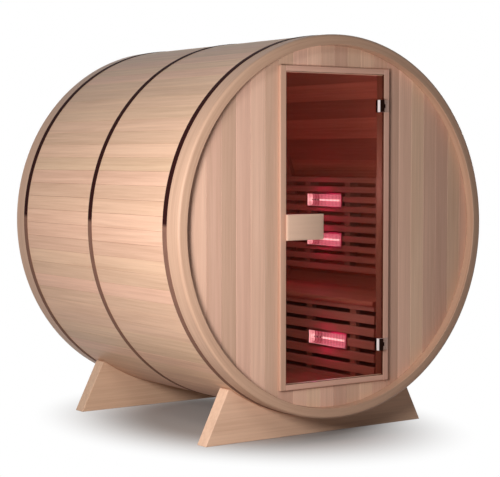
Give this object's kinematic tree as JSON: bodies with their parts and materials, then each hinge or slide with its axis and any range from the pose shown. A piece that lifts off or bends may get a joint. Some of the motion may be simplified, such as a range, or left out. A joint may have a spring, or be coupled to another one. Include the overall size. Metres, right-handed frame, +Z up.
{
  "type": "barrel sauna",
  "caption": "Outdoor barrel sauna: round cabin of wooden staves with steel hoops on two cradles, hinged glass door, slatted bench and infrared heaters inside.",
  "frame": {"origin": "on the ground under the middle of the barrel", "axes": "+Z up, -Y out of the glass door along the barrel, +X to the right for someone facing the door"},
  "size_m": [1.8044, 1.568, 1.896],
  "materials": {
    "stave_wood": "planed, clear oil",
    "rim_wood": "planed, clear oil",
    "end_wall_wood": "planed, clear oil",
    "frame_wood": "planed, clear oil",
    "cradle_wood": "planed, clear oil",
    "inside_wood": "planed, bare",
    "hoop_steel": "satin dark brown",
    "tinted_glass": "bronze tint",
    "hinge_chrome": "polished",
    "hinge_dark": "satin black",
    "heater_sheet": "bright sheet",
    "heater_rod": "glowing red",
    "heater_wire": "bright wire"
  },
  "bodies": {
    "cabin": {"stave_wall_01": "stave_wood", "stave_wall_02": "stave_wood", "stave_wall_03": "stave_wood", "stave_wall_04": "stave_wood", "stave_wall_05": "stave_wood", "stave_wall_06": "stave_wood", "stave_wall_07": "stave_wood", "stave_wall_08": "stave_wood", "stave_wall_09": "stave_wood", "stave_wall_10": "stave_wood", "stave_wall_11": "stave_wood", "stave_wall_12": "stave_wood", "front_rim": "rim_wood", "rear_rim": "rim_wood", "front_hoop": "hoop_steel", "middle_hoop": "hoop_steel", "rear_hoop": "hoop_steel", "front_wall_left": "end_wall_wood", "front_wall_right": "end_wall_wood", "front_wall_over_door": "end_wall_wood", "front_wall_under_door": "end_wall_wood", "back_wall": "end_wall_wood", "door_jamb_left": "frame_wood", "door_jamb_right": "frame_wood", "door_head": "frame_wood", "door_sill": "frame_wood", "hinge_leaves": "hinge_chrome", "front_cradle": "cradle_wood", "rear_cradle": "cradle_wood", "floor": "inside_wood", "bench_seat": "inside_wood", "bench_front": "inside_wood", "backrest": "inside_wood", "back_heater_upper": "heater_sheet", "back_heater_lower": "heater_sheet", "calf_heater": "heater_sheet", "heater_rods": "heater_rod", "heater_guards": "heater_wire"},
    "door": {"door_glass": "tinted_glass", "door_handle": "frame_wood", "hinge_clips": "hinge_chrome", "hinge_knuckles": "hinge_dark"}
  },
  "joints": [
    {"name": "door_hinge", "type": "hinge", "parent": "cabin", "child": "door", "pos_m": [0.289, -0.756, 0.994], "axis": [0, 0, 1], "range_deg": [0, 110]}
  ]
}
